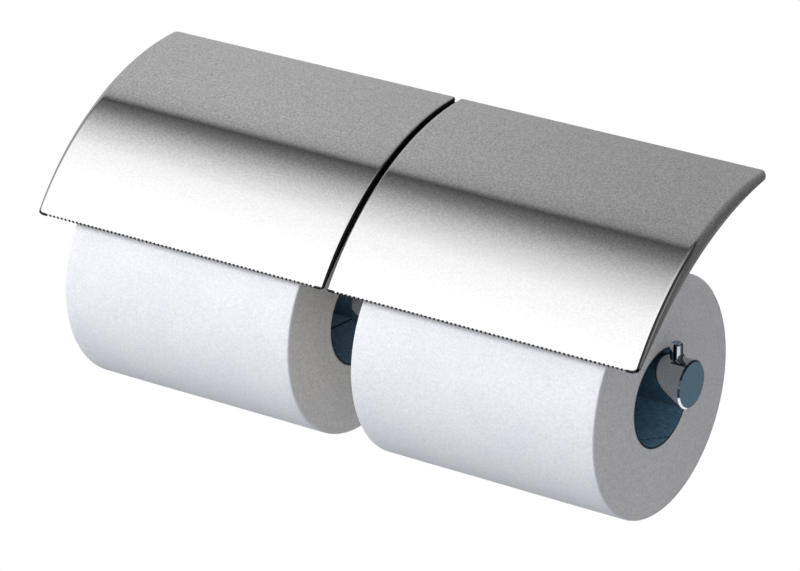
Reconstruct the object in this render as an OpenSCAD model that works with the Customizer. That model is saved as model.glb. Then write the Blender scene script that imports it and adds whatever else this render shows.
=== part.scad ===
// Double toilet roll holder with two hinged sheet covers.
// The wall is the plane Y = 0, the holder reaches towards -Y and +Z is up.
// The origin is the centre of the wall plate's back face.

/* [Paper rolls] */
// Width of one roll
roll_w = 114; // [108:1:118]
// Outer diameter of the paper on a full roll
roll_d = 100; // [60:1:106]
// Rounding of the paper's outer edges
paper_edge_r = 0.8; // [0.3:0.1:1.5]
// Inner diameter of the card core
core_bore = 39.4; // [37:0.2:41]
// Wall of the card core
core_wall = 0.9; // [0.6:0.1:1.5]
// Gap between the shaft and the top of a core
core_gap = 0.8; // [0.2:0.1:0.9]
// Space between the two rolls
roll_gap = 30; // [28:1:36]
// Distance from the wall to the roll axis
roll_reach = 60; // [58:1:70]
// Height of the paper's top above the centre of the wall plate
paper_top = 3; // [-5:1:5]

/* [Shaft] */
// Outer diameter of the shaft
shaft_d = 19.8; // [17:0.2:21]
// Wall of the shaft tube
shaft_wall = 1.5; // [1:0.1:2]
// Length of shaft outside the stop peg
shaft_tail = 4.8; // [4:0.2:8]
// Space between a roll's outer face and the stop peg
peg_space = 3.5; // [2:0.5:6]
// Diameter of a stop peg
peg_d = 5.2; // [4:0.2:6]
// Height of a stop peg above the shaft
peg_h = 6.2; // [4:0.2:9]
// Diameter of the peg's neck through the tube wall
peg_neck_d = 3; // [2:0.2:3.4]
// Length of the peg's neck below the shaft's surface
peg_neck_l = 4.5; // [3:0.1:6]
// Chamfer round the top of a peg
peg_chamfer = 0.6; // [0.2:0.1:1]
// Thickness of an end cap's disc
cap_t = 3; // [2:0.5:4]
// Chamfer round an end cap's face
cap_chamfer = 0.7; // [0.3:0.1:1]
// Length of an end cap's plug inside the tube
cap_plug_l = 8; // [7:0.5:12]

/* [Covers] */
// Radius of the covers' outer face, less the radius of a full roll
cover_spread = 68; // [62:1:74]
// Angle that the covers sweep from back edge to front edge
cover_sweep = 55; // [48:1:58]
// Lean of the sheet at its back edge
cover_lean = 1.4; // [0:0.2:3]
// Space between the back edge and the wall
cover_back_gap = 11.1; // [10:0.1:13]
// Height of the back edge above the paper's top
cover_rise = 33.2; // [32:0.1:40]
// Reach of a cover past the shaft's end
cover_overhang = 3.8; // [1:0.1:6]
// Gap between the two covers
cover_seam = 1.6; // [1.2:0.2:4]
// Thickness of the sheet
cover_t = 1.2; // [0.8:0.1:1.6]
// Outer radius of the rolled edge at a cover's outer side
cover_edge_r = 3.3; // [2:0.1:3.5]
// Inner radius of the bend beside the seam
cover_seam_bend = 0.2; // [0.2:0.1:1]
// Depth of the side lips in the middle, from the outer face
lip_depth = 4.4; // [4:0.1:7]
// Depth of the side lips below the sheet, at the back and at the front
lip_back_depth = 0.9; // [0.2:0.1:2]
lip_front_depth = 0.1; // [0.1:0.1:1]
// Rounding of a cover's outer corners
cover_corner_r = 4; // [3:0.5:6]
// Rounding of a cover's corners beside the seam
seam_corner_r = 1.5; // [1:0.5:3]
// Pitch of the teeth on the front edge
tooth_pitch = 2; // [1.8:0.1:3]
// Depth of the teeth
tooth_depth = 0.9; // [0.6:0.1:1.2]
// Plain stretch of the front edge beside each corner
tooth_margin = 5.5; // [5:0.5:10]
// Rounding of the front edge's upper side
nose_r = 0.8; // [0.4:0.1:1]

/* [Hinges] */
// Distance from the wall to the hinge axis
hinge_reach = 19.5; // [19:0.5:21]
// Depth of the hinge axis below the covers' outer face
hinge_depth = 10; // [9.5:0.1:10.5]
// Diameter of a hinge rod
rod_d = 5; // [4:0.2:5.4]
// Length of rod outside an ear
rod_tail = 3; // [2.5:0.1:5]
// Diameter of the groove for a rod clip
groove_d = 4; // [3:0.1:4]
// Thickness of a rod clip
clip_t = 0.8; // [0.6:0.1:1]
// Outer diameter of a rod clip
clip_d = 9; // [8:0.5:10]
// Width of the mouth of a rod clip
clip_mouth = 3.2; // [2.6:0.1:3.6]
// Thickness of an ear on the bar
ear_t = 4; // [3:0.5:5]
// Radius of an ear round its bore
ear_r = 5; // [4.5:0.1:5.5]
// Height of an ear's root below the bar's top
ear_root = 22; // [15:1:26]
// Distance from the middle of the object to the inner ears
ear_inner_x = 22; // [20:1:26]
// Thickness of a lug's upright
lug_t = 3; // [2.5:0.1:4]
// Radius of a lug round its bore
lug_r = 6; // [5.5:0.1:6.5]
// Width of a lug's foot along the cover
foot_w = 14; // [12:1:18]
// Thickness of a lug's foot
foot_t = 2; // [1.6:0.1:2.4]
// Angle from the hinge axis back to the rear end of the foot
foot_back = 2.5; // [2:0.5:3]
// Angle from the hinge axis forward to the front end of the foot
foot_front = 14; // [13:0.5:18]
// Length of a lug's heel below the hinge axis
heel_l = 20; // [18:1:21]
// Width of a lug's heel at its lower end
heel_w = 5; // [4:0.5:6]
// Height of the heel's face that meets the pad
heel_face = 8; // [6:0.5:9]
// Wall of a hinge bush
bush_wall = 0.9; // [0.7:0.1:1]
// Thickness of a bush's flange
bush_flange_t = 0.8; // [0.6:0.1:1]
// Diameter of a bush's flange
bush_flange_d = 10; // [9:0.5:11]
// Side play of a cover between its ears
side_play = 0.4; // [0.2:0.1:0.8]
// Diameter of a welded stud
stud_d = 3; // [2.5:0.1:3.4]
// Length of a welded stud
stud_l = 5.4; // [5:0.1:5.6]
// Angle from the hinge axis forward to the first stud
stud_first = 4.5; // [4:0.5:6]
// Angle between the two studs of a lug
stud_step = 6; // [4.5:0.5:7]
// Width across the corners of a nut
nut_d = 6.4; // [5.5:0.1:6.8]
// Thickness of a nut
nut_t = 2.4; // [1.8:0.1:2.6]
// Thickness of a stop pad
pad_t = 2; // [1.5:0.1:2.5]
// Width and height of a stop pad
pad_w = 5; // [4:0.2:5]
pad_h = 9; // [7:0.5:10]

/* [Wall fixing] */
// Width of the hinge bar
bar_w = 190; // [180:1:210]
// Height of the hinge bar
bar_h = 33; // [32:1:34]
// Depth of the hinge bar from the wall
bar_depth = 9; // [8.5:0.1:9.5]
// Wall of the hinge bar
bar_wall = 2.5; // [2:0.1:2.8]
// Rounding of the bar's corners
bar_corner_r = 3; // [2:0.5:5]
// Height and thickness of the flange that stands on the bar along the wall
bar_flange_h = 13; // [6:0.5:13.5]
bar_flange_t = 2.2; // [1.6:0.1:2.8]
// Space between the bar's ends and the wall plate
plate_side_gap = 0.5; // [0.3:0.1:1]
// Space under the wall plate that the lock screws take up
lock_gap = 1; // [0.6:0.1:1.4]
// Thickness of the wall plate
plate_t = 2; // [1.5:0.1:2.2]
// Depth of the wall plate's flanges from the wall
plate_flange = 5.5; // [5:0.1:5.8]
// Spacing of the wall screw holes, side to side and up and down
hole_space_x = 120; // [80:1:150]
hole_space_z = 12; // [8:1:13]
// Diameter of the wall screw holes
hole_d = 5; // [4:0.1:5.5]
// Width and height of the tabs that hook the bar
tab_w = 14; // [8:1:20]
tab_h = 1.4; // [0.8:0.1:1.6]
// Distance of the tabs and the lock screws from the middle
tab_x = 45; // [30:1:50]
// Diameter of a lock screw
lock_d = 4; // [3:0.2:4]
// Reach of a lock screw past the flange's face
lock_bite = 1.2; // [0.8:0.1:1.6]
// Width across the corners of the screws' sockets
socket_d = 2.4; // [2:0.1:2.6]
// Depth of the screws' sockets
socket_depth = 1.4; // [1:0.1:1.6]

/* [Arm] */
// Width of the arm between the rolls
arm_w = 13; // [11:1:14]
// Width of the boss round the shaft
boss_w = 20; // [16:1:24]
// Wall of the boss round the shaft
boss_wall = 3; // [2.5:0.1:3.5]
// Width of the arm's foot
arm_foot_w = 28; // [26:1:28]
// Height of the arm's foot
arm_foot_h = 30; // [28:1:31]
// Thickness of the arm's foot
arm_foot_t = 4; // [3:0.5:5]
// Height of the arm where it leaves its foot
arm_root_h = 24; // [18:1:26]
// Depth of the hollows in the arm's sides
arm_hollow = 4; // [3:0.5:4.5]
// Rim left round the hollows
arm_rim = 3.5; // [2.5:0.5:4]
// Spacing of the arm screws, side to side and up and down
arm_screw_x = 21; // [20.6:0.1:21.2]
arm_screw_z = 13; // [10:1:13]
// Diameter of an arm screw
arm_screw_d = 3.6; // [3:0.1:4]
// Reach of an arm screw behind the foot
arm_screw_l = 5.4; // [4:0.1:5.6]
// Diameter of an arm screw's head
arm_head_d = 6.2; // [5.5:0.1:6.4]
// Height of an arm screw's head
arm_head_h = 2.2; // [1.8:0.1:3]
// Diameter of the bosses behind the bar's front
bar_boss_d = 7.5; // [7:0.5:8]
// Length of the bosses behind the bar's front
bar_boss_l = 3.6; // [2.5:0.1:4]
// Diameter and length of the shaft screw
shaft_screw_d = 5; // [4:0.1:5.4]
shaft_screw_l = 4.4; // [3.5:0.1:6]

/* [Hidden] */
// Clearances: turning fits, screwed or plugged fits, resting gaps
run_fit = 0.05;
fix_fit = 0.05;
rest_gap = 0.3;
// Length by which a cut runs past the face that it opens
overrun = 1;
// Sheet that stands past each end before the ends are cut
sweep_spare = 2;
// Angle by which a lug's upright stays inside the ends of its foot
web_inset = 0.4;
// Smoothness of round things
$fn = 96;

shaft_r = shaft_d / 2;
core_r = core_bore / 2 + core_wall;
roll_y = -roll_reach;
roll_z = paper_top - roll_d / 2;
roll_x = roll_gap / 2;
shaft_y = roll_y;
shaft_z = roll_z + core_bore / 2 - core_gap - shaft_r;
peg_x = roll_x + roll_w + peg_space + peg_d / 2;
shaft_end = peg_x + peg_d / 2 + shaft_tail;
tube_end = shaft_end - cap_t;
tube_bore_r = shaft_r - shaft_wall;
boss_r = shaft_r + boss_wall;

cover_x0 = cover_seam / 2;
cover_x1 = shaft_end + cover_overhang;
cover_w = cover_x1 - cover_x0;
cover_r = roll_d / 2 + cover_spread;
cover_back = 90 + cover_lean;
cover_front = cover_back + cover_sweep;
cover_cy = -cover_back_gap - cover_r * cos(cover_back);
cover_cz = paper_top + cover_rise - cover_r * sin(cover_back);
under_r = cover_r - cover_t;
tooth_count = floor((cover_w - 2 * tooth_margin) / tooth_pitch);
tooth_start = (cover_w - tooth_count * tooth_pitch) / 2;

cover_seam_r = cover_seam_bend + cover_t;

// The cylinder that trims the side lips to a crescent: its centre and radius
lip_cut = circle_through(
  polar(under_r - lip_back_depth, cover_back),
  polar(cover_r - lip_depth, cover_back + cover_sweep / 2),
  polar(under_r - lip_front_depth, cover_front)
);
lip_foot_r = cover_r - lip_depth - 2 * overrun;

hinge_y = -hinge_reach;
hinge_rel_y = hinge_y - cover_cy;
hinge_arc_r = cover_r - hinge_depth;
hinge_z = cover_cz + sqrt(hinge_arc_r * hinge_arc_r - hinge_rel_y * hinge_rel_y);
hinge_angle = atan2(hinge_z - cover_cz, hinge_rel_y);
rod_r = rod_d / 2;
bush_r = rod_r + run_fit + bush_wall;

ear_outer_x = bar_w / 2 - ear_t;
lug_inner_x = ear_inner_x + ear_t + side_play + bush_flange_t;
lug_outer_x = ear_outer_x - side_play - bush_flange_t - lug_t;

plate_h = bar_h - 2 * bar_wall - lock_gap;
plate_w = bar_w - 2 * bar_wall - 2 * plate_side_gap;
bar_top = plate_h / 2 + bar_wall;
bar_bottom = bar_top - bar_h;
pocket_depth = bar_depth - bar_wall;
foot_y = -bar_depth - arm_foot_t;
pad_y = -bar_depth - pad_t;
heel_y = pad_y - rest_gap;
heel_z = hinge_z - heel_l;

// Point where a line from p touches the circle of radius r about c
function tangent(c, r, p, side) =
  let (a = atan2(p[1] - c[1], p[0] - c[0]) + side * acos(r / norm(p - c)))
  [c[0] + r * cos(a), c[1] + r * sin(a)];

// Point at the distance r and the angle a from the covers' centre, without and with the centre's place
function polar(r, a) = [r * cos(a), r * sin(a)];
function on_arc(r, a) = [cover_cy, cover_cz] + polar(r, a);

// Centre and radius of the circle through three points
function circle_through(a, b, c) =
  let (
    u = b - a,
    v = c - a,
    area = 2 * (u[0] * v[1] - u[1] * v[0]),
    centre = a + [v[1] * (u * u) - u[1] * (v * v), u[0] * (v * v) - v[0] * (u * u)] / area
  )
  [centre[0], centre[1], norm(a - centre)];

// Turns a drawing in the plane of Y and Z, extruded upwards, to run along +X from x
module along_x(x = 0) {
  translate([x, 0, 0]) rotate([90, 0, 90]) children();
}

// Mirrored copy for the left side, plain for the right
module side(left) {
  if (left) mirror([1, 0, 0]) children();
  else children();
}

// Both mirror images together
module both_sides() {
  children();
  mirror([1, 0, 0]) children();
}

// Round bar along X
module x_bar(x, l, r, y, z) {
  translate([x, y, z]) rotate([0, 90, 0]) cylinder(h = l, r = r);
}

// Plate with rounded corners that stands on the wall and reaches to -Y
module y_block(w, z0, z1, y0, y1, r) {
  translate([0, y0, 0]) rotate([90, 0, 0]) linear_extrude(y0 - y1) {
    translate([-w / 2 + r, z0]) square([w - 2 * r, z1 - z0]);
    translate([-w / 2, z0 + r]) square([w, z1 - z0 - 2 * r]);
    for (sx = [-1, 1]) for (z = [z0 + r, z1 - r])
      translate([sx * (w / 2 - r), z]) circle(r);
  }
}

// Section of a cover's outer face, moved inwards, from the radius foot up to the sheet
module rolled_outline(inset, foot) {
  translate([foot, inset]) square([cover_r - cover_edge_r - foot, cover_w - 2 * inset]);
  translate([foot, inset]) square([cover_r - cover_seam_r - foot, cover_edge_r]);
  translate([foot, cover_seam_r])
    square([cover_r - inset - foot, cover_w - cover_seam_r - cover_edge_r]);
  translate([cover_r - cover_seam_r, cover_seam_r]) circle(cover_seam_r - inset, $fn = 48);
  translate([cover_r - cover_edge_r, cover_w - cover_edge_r])
    circle(cover_edge_r - inset, $fn = 48);
}

// Section of a cover across its width: sheet with a rolled edge and a lip on each side
module cover_section() {
  difference() {
    rolled_outline(0, lip_foot_r);
    rolled_outline(cover_t, lip_foot_r - overrun);
  }
}

// Points of the notches between the teeth, along the front edge line at 0
function tooth_points() = [
  for (i = [0 : tooth_count - 1]) each [
    [0, tooth_start + i * tooth_pitch],
    [-tooth_depth, tooth_start + (i + 1 / 2) * tooth_pitch]
  ],
  [0, tooth_start + tooth_count * tooth_pitch]
];

// Outline that stays at an end of the cover, with rounded corners and, in front, the teeth
module edge_outline(teeth) {
  root = -cover_corner_r - overrun;
  far = cover_w - cover_corner_r;
  polygon([
    [root, seam_corner_r], [0, seam_corner_r], if (teeth) each tooth_points(), [0, far], [root, far]
  ]);
  translate([root, 0]) square([overrun, cover_w]);
  translate([root, 0]) square([-root - seam_corner_r, seam_corner_r]);
  translate([-seam_corner_r, seam_corner_r]) circle(seam_corner_r);
  translate([-cover_corner_r, far]) circle(cover_corner_r);
}

// Cuts along the cover's normal all that lies past the outline of the end at angle a
module end_cutter(a, teeth) {
  rotate([0, 0, a]) translate([lip_foot_r - overrun, 0, 0]) flipped(!teeth) along_x()
    linear_extrude(cover_r - lip_foot_r + 2 * overrun) difference() {
      translate([-cover_corner_r, -overrun])
        square([cover_corner_r + 2 * sweep_spare, cover_w + 2 * overrun]);
      edge_outline(teeth);
    }
}

module flipped(flip) {
  if (flip) mirror([0, 1, 0]) children();
  else children();
}

// Takes away what lies past the rounding of the front edge's upper side
module nose_cutter() {
  rotate([0, 0, cover_front]) translate([cover_r - nose_r, -nose_r, -overrun]) difference() {
    cube([nose_r + overrun, nose_r + overrun, cover_w + 2 * overrun]);
    translate([0, 0, -overrun]) cylinder(h = cover_w + 4 * overrun, r = nose_r, $fn = 32);
  }
}

// Curved sheet with its side lips trimmed to crescents, a little longer than the cover
module curved_sheet() {
  spare = sweep_spare / cover_r * 180 / PI;
  difference() {
    rotate([0, 0, cover_back - spare])
      rotate_extrude(angle = cover_sweep + 2 * spare, $fn = 360) cover_section();
    translate([lip_cut[0], lip_cut[1], -overrun])
      cylinder(h = cover_w + 2 * overrun, r = lip_cut[2], $fn = 360);
  }
}

module cover(left) {
  color("gainsboro") side(left) translate([cover_x0, cover_cy, cover_cz]) along_x()
  difference() {
    curved_sheet();
    end_cutter(cover_front, true);
    end_cutter(cover_back, false);
    nose_cutter();
  }
}

// Upright of a hinge lug in the plane of Y and Z: web, eye and heel
module lug_outline() {
  hinge = [hinge_y, hinge_z];
  web_a = on_arc(under_r + 2 * overrun, hinge_angle - foot_back + web_inset);
  web_b = on_arc(under_r + 2 * overrun, hinge_angle + foot_front - web_inset);
  heel_a = [heel_y - heel_w, heel_z];
  heel_b = [heel_y, heel_z + heel_face];
  translate(hinge) circle(lug_r);
  polygon([tangent(hinge, lug_r, web_a, -1), web_a, web_b, tangent(hinge, lug_r, web_b, 1)]);
  polygon([tangent(hinge, lug_r, heel_a, -1), heel_a, [heel_y, heel_z], heel_b, hinge]);
}

// Foot of a lug before its top is cut to the sheet
module foot_outline() {
  difference() {
    polygon([
      [cover_cy, cover_cz],
      on_arc(under_r + 2 * overrun, hinge_angle - foot_back),
      on_arc(under_r + 2 * overrun, hinge_angle + foot_front)
    ]);
    translate([cover_cy, cover_cz]) circle(under_r - foot_t, $fn = 360);
  }
}

// Places its children on the cover's normals through the two studs of the lug at x
module at_studs(x, reversed) {
  mid = reversed ? x + (lug_t - foot_w) / 2 : x + (lug_t + foot_w) / 2;
  for (i = [0, 1]) translate([mid, cover_cy, cover_cz])
    rotate([hinge_angle + stud_first + i * stud_step - 90, 0, 0]) children();
}

// Places its children at the studs of both lugs of a cover
module at_all_studs() {
  at_studs(lug_inner_x, false) children();
  at_studs(lug_outer_x, true) children();
}

// Lug with its upright at x and its foot reaching to +X or, reversed, to -X
module lug(left, x, reversed) {
  foot_x = reversed ? x + lug_t - foot_w : x;
  color("silver") side(left) difference() {
    intersection() {
      union() {
        along_x(x) linear_extrude(lug_t) lug_outline();
        along_x(foot_x) linear_extrude(foot_w) foot_outline();
      }
      x_bar(foot_x - overrun, foot_w + 2 * overrun, under_r, cover_cy, cover_cz, $fn = 360);
    }
    x_bar(x - overrun, lug_t + 2 * overrun, bush_r + fix_fit, hinge_y, hinge_z);
    at_studs(x, reversed) translate([0, 0, under_r - foot_t - overrun])
      cylinder(h = foot_t + 2 * overrun, d = stud_d + 2 * fix_fit);
  }
}

module left_cover() { cover(true); }
module right_cover() { cover(false); }
module left_inner_lug() { lug(true, lug_inner_x, false); }
module left_outer_lug() { lug(true, lug_outer_x, true); }
module right_inner_lug() { lug(false, lug_inner_x, false); }
module right_outer_lug() { lug(false, lug_outer_x, true); }

module lug_studs(left) {
  color("silver") side(left) at_all_studs()
    translate([0, 0, under_r - fix_fit - stud_l]) cylinder(h = stud_l, d = stud_d);
}

module lug_nuts(left) {
  top = under_r - foot_t - 2 * fix_fit;
  color("darkgray") side(left) at_all_studs() translate([0, 0, top - nut_t]) difference() {
    cylinder(h = nut_t, d = nut_d, $fn = 6);
    translate([0, 0, -overrun]) cylinder(h = nut_t + 2 * overrun, d = stud_d + 2 * fix_fit);
  }
}

module left_lug_studs() { lug_studs(true); }
module right_lug_studs() { lug_studs(false); }
module left_lug_nuts() { lug_nuts(true); }
module right_lug_nuts() { lug_nuts(false); }

// Flanged bush with its flange starting at x and its sleeve running to +X or, reversed, to -X
module bush(x, reversed) {
  sleeve_x = reversed ? x - lug_t : x + bush_flange_t;
  difference() {
    union() {
      x_bar(x, bush_flange_t, bush_flange_d / 2, hinge_y, hinge_z);
      x_bar(sleeve_x, lug_t, bush_r, hinge_y, hinge_z);
    }
    x_bar(min(x, sleeve_x) - overrun, lug_t + bush_flange_t + 2 * overrun, rod_r + run_fit,
          hinge_y, hinge_z);
  }
}

module hinge_bushes(left) {
  color("whitesmoke") side(left) {
    bush(lug_inner_x - bush_flange_t, false);
    bush(lug_outer_x + lug_t, true);
  }
}

module left_hinge_bushes() { hinge_bushes(true); }
module right_hinge_bushes() { hinge_bushes(false); }

module hinge_rod(left) {
  x0 = ear_inner_x - rod_tail;
  x1 = ear_outer_x + ear_t + rod_tail;
  color("silver") side(left) difference() {
    x_bar(x0, x1 - x0, rod_r, hinge_y, hinge_z);
    for (x = [ear_inner_x - clip_t, ear_outer_x + ear_t]) difference() {
      x_bar(x, clip_t, rod_r + overrun, hinge_y, hinge_z);
      x_bar(x - overrun, clip_t + 2 * overrun, groove_d / 2, hinge_y, hinge_z);
    }
  }
}

module left_hinge_rod() { hinge_rod(true); }
module right_hinge_rod() { hinge_rod(false); }

module rod_clips() {
  color("dimgray") both_sides() for (x = [ear_inner_x - clip_t, ear_outer_x + ear_t])
    along_x(x) linear_extrude(clip_t) translate([hinge_y, hinge_z]) difference() {
      circle(d = clip_d);
      circle(d = groove_d + 2 * fix_fit);
      translate([-clip_mouth / 2, -clip_d]) square([clip_mouth, clip_d]);
    }
}

module stop_pads() {
  color("dimgray") both_sides()
  for (x = [lug_inner_x, lug_outer_x])
    translate([x + lug_t / 2 - pad_w / 2, pad_y, heel_z - (pad_h - heel_face) / 2])
      cube([pad_w, pad_t, pad_h]);
}

module ear_outline() {
  hinge = [hinge_y, hinge_z];
  corner = [-bar_depth, bar_top];
  root = [-bar_depth, bar_top - ear_root];
  difference() {
    union() {
      translate(hinge) circle(ear_r);
      polygon([
        tangent(hinge, ear_r, corner, 1), tangent(hinge, ear_r, root, -1), root,
        [-bar_depth + bar_wall, bar_top - ear_root], [-bar_depth + bar_wall, bar_top], corner
      ]);
    }
    translate(hinge) circle(rod_r + run_fit);
  }
}

module hinge_bar() {
  color("gray") difference() {
    union() {
      difference() {
        union() {
          y_block(bar_w, bar_bottom, bar_top, 0, -bar_depth, bar_corner_r);
          y_block(bar_w, bar_top - 2 * bar_corner_r - overrun, bar_top + bar_flange_h,
                  0, -bar_flange_t, bar_corner_r);
        }
        y_block(bar_w - 2 * bar_wall, bar_bottom + bar_wall, bar_top - bar_wall,
                overrun, -pocket_depth, bar_corner_r - bar_wall);
      }
      both_sides() for (x = [ear_inner_x, ear_outer_x])
        along_x(x) linear_extrude(ear_t) ear_outline();
      at_arm_screws() translate([0, 0, -bar_depth + bar_wall - fix_fit])
        cylinder(h = bar_boss_l + fix_fit, d = bar_boss_d);
    }
    at_arm_screws() translate([0, 0, -bar_depth - overrun])
      cylinder(h = arm_screw_l + fix_fit + overrun, d = arm_screw_d + 2 * fix_fit);
    both_sides() translate([tab_x, -(plate_flange + plate_t) / 2, 0]) {
      translate([-tab_w / 2 - fix_fit, -plate_t / 2 - rest_gap, bar_top - bar_wall - overrun])
        cube([tab_w + 2 * fix_fit, plate_t + 2 * rest_gap, tab_h + fix_fit + overrun]);
      translate([0, 0, bar_bottom - overrun])
        cylinder(h = bar_wall + 2 * overrun, d = lock_d + 2 * fix_fit);
    }
  }
}

// Places its children at the arm screws, with their +Z towards the wall
module at_arm_screws() {
  for (sx = [-1, 1]) for (sz = [-1, 1])
    translate([sx * arm_screw_x / 2, 0, sz * arm_screw_z / 2]) rotate([-90, 0, 0]) children();
}

module wall_plate() {
  half_h = plate_h / 2;
  color("lightgray") difference() {
    union() {
      difference() {
        translate([-plate_w / 2, -plate_flange, -half_h]) cube([plate_w, plate_flange, plate_h]);
        translate([-plate_w / 2 - overrun, -plate_flange - overrun, -half_h + plate_t])
          cube([plate_w + 2 * overrun, plate_flange + overrun - plate_t, plate_h - 2 * plate_t]);
      }
      both_sides() translate([tab_x - tab_w / 2, -plate_t / 2 - (plate_flange + plate_t) / 2, half_h])
        cube([tab_w, plate_t, tab_h]);
    }
    for (sx = [-1, 1]) for (sz = [-1, 1])
      translate([sx * hole_space_x / 2, overrun, sz * hole_space_z / 2]) rotate([90, 0, 0])
        cylinder(h = plate_t + 2 * overrun, d = hole_d);
    both_sides() translate([tab_x, -(plate_flange + plate_t) / 2, -half_h - overrun])
      cylinder(h = plate_t + 2 * overrun, d = lock_d + 2 * fix_fit);
  }
}

module lock_screws() {
  tip = -plate_h / 2 + lock_bite;
  color("dimgray") both_sides() translate([tab_x, -(plate_flange + plate_t) / 2, bar_bottom])
    difference() {
      cylinder(h = tip - bar_bottom, d = lock_d);
      translate([0, 0, -overrun]) cylinder(h = socket_depth + overrun, d = socket_d, $fn = 6);
    }
}

module arm_outline(rim) {
  boss = [shaft_y, shaft_z];
  r = boss_r - rim;
  top = [foot_y - rim, arm_root_h / 2 - rim];
  bottom = [foot_y - rim, -arm_root_h / 2 + rim];
  polygon([top, tangent(boss, r, top, 1), tangent(boss, r, bottom, -1), bottom]);
}

module arm() {
  color("silver") difference() {
    union() {
      y_block(arm_foot_w, -arm_foot_h / 2, arm_foot_h / 2, -bar_depth, foot_y, bar_corner_r);
      along_x(-arm_w / 2) linear_extrude(arm_w) union() {
        arm_outline(0);
        translate([foot_y, -arm_root_h / 2]) square([arm_foot_t / 2, arm_root_h]);
      }
      x_bar(-boss_w / 2, boss_w, boss_r, shaft_y, shaft_z);
    }
    both_sides() along_x(arm_w / 2 - arm_hollow) linear_extrude(arm_hollow + overrun)
      difference() {
        arm_outline(arm_rim);
        translate([shaft_y, shaft_z]) circle(boss_r + arm_rim);
      }
    x_bar(-boss_w / 2 - overrun, boss_w + 2 * overrun, shaft_r + fix_fit, shaft_y, shaft_z);
    at_arm_screws() translate([0, 0, foot_y - overrun])
      cylinder(h = arm_foot_t + 2 * overrun, d = arm_screw_d + 2 * fix_fit);
    translate([0, shaft_y, shaft_z - boss_r - overrun])
      cylinder(h = boss_wall + 2 * overrun, d = shaft_screw_d + 2 * fix_fit);
  }
}

module arm_screws() {
  color("dimgray") at_arm_screws() difference() {
    union() {
      translate([0, 0, foot_y]) cylinder(h = arm_foot_t + arm_screw_l, d = arm_screw_d);
      translate([0, 0, foot_y - arm_head_h]) cylinder(h = arm_head_h, d = arm_head_d);
    }
    translate([0, 0, foot_y - arm_head_h - overrun])
      cylinder(h = socket_depth + overrun, d = socket_d, $fn = 6);
  }
}

module shaft_screw() {
  color("dimgray") translate([0, shaft_y, shaft_z - shaft_r - fix_fit - shaft_screw_l])
    difference() {
      cylinder(h = shaft_screw_l, d = shaft_screw_d);
      translate([0, 0, -overrun]) cylinder(h = socket_depth + overrun, d = socket_d, $fn = 6);
    }
}

module shaft() {
  color("silver") difference() {
    x_bar(-tube_end, 2 * tube_end, shaft_r, shaft_y, shaft_z);
    x_bar(-tube_end - overrun, 2 * tube_end + 2 * overrun, tube_bore_r, shaft_y, shaft_z);
    both_sides() translate([peg_x, shaft_y, shaft_z])
      cylinder(h = shaft_r + overrun, d = peg_neck_d + 2 * fix_fit);
  }
}

// Chamfered disc with a plug that the neck of the stop peg locks in the tube
module end_cap(left) {
  plug_r = tube_bore_r - fix_fit;
  color("silver") side(left) difference() {
    translate([tube_end, shaft_y, shaft_z]) rotate([0, 90, 0]) rotate_extrude() polygon([
      [0, cap_t], [shaft_r - cap_chamfer, cap_t], [shaft_r, cap_t - cap_chamfer], [shaft_r, 0],
      [plug_r, 0], [plug_r, -cap_plug_l], [0, -cap_plug_l]
    ]);
    translate([peg_x, shaft_y, shaft_z + shaft_r - peg_neck_l - fix_fit])
      cylinder(h = peg_neck_l + overrun, d = peg_neck_d + 2 * fix_fit);
  }
}

module left_end_cap() { end_cap(true); }
module right_end_cap() { end_cap(false); }

module stop_peg(left) {
  color("silver") side(left) {
    difference() {
      translate([peg_x, shaft_y, shaft_z]) rotate_extrude() polygon([
        [0, shaft_r - peg_neck_l], [peg_neck_d / 2, shaft_r - peg_neck_l],
        [peg_neck_d / 2, shaft_r - shaft_wall / 2], [peg_d / 2, shaft_r - shaft_wall / 2],
        [peg_d / 2, shaft_r + peg_h - peg_chamfer], [peg_d / 2 - peg_chamfer, shaft_r + peg_h],
        [0, shaft_r + peg_h]
      ]);
      difference() {
        x_bar(peg_x - peg_d, 2 * peg_d, shaft_r, shaft_y, shaft_z);
        translate([peg_x, shaft_y, shaft_z]) cylinder(h = shaft_r + overrun, d = peg_neck_d);
      }
    }
  }
}

module left_stop_peg() { stop_peg(true); }
module right_stop_peg() { stop_peg(false); }

module core(left) {
  color("tan") side(left) difference() {
    x_bar(roll_x, roll_w, core_r, roll_y, roll_z);
    x_bar(roll_x - overrun, roll_w + 2 * overrun, core_bore / 2, roll_y, roll_z);
  }
}

module left_core() { core(true); }
module right_core() { core(false); }

// Wound paper with softly rounded outer edges
module paper(left) {
  color("white") side(left) translate([roll_x, roll_y, roll_z]) rotate([0, 90, 0])
    rotate_extrude() {
      translate([core_r, 0]) square([roll_d / 2 - core_r - paper_edge_r, roll_w]);
      translate([core_r, paper_edge_r]) square([roll_d / 2 - core_r, roll_w - 2 * paper_edge_r]);
      for (x = [paper_edge_r, roll_w - paper_edge_r])
        translate([roll_d / 2 - paper_edge_r, x]) circle(paper_edge_r, $fn = 24);
    }
}

module left_paper() { paper(true); }
module right_paper() { paper(false); }

wall_plate();
hinge_bar();
lock_screws();
arm();
arm_screws();
shaft_screw();
shaft();
left_end_cap();
right_end_cap();
left_stop_peg();
right_stop_peg();
left_hinge_rod();
right_hinge_rod();
rod_clips();
stop_pads();
left_cover();
left_inner_lug();
left_outer_lug();
left_lug_studs();
left_lug_nuts();
left_hinge_bushes();
right_cover();
right_inner_lug();
right_outer_lug();
right_lug_studs();
right_lug_nuts();
right_hinge_bushes();
left_paper();
left_core();
right_paper();
right_core();
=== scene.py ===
import math
import bmesh
import bpy
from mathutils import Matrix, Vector, noise


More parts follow.
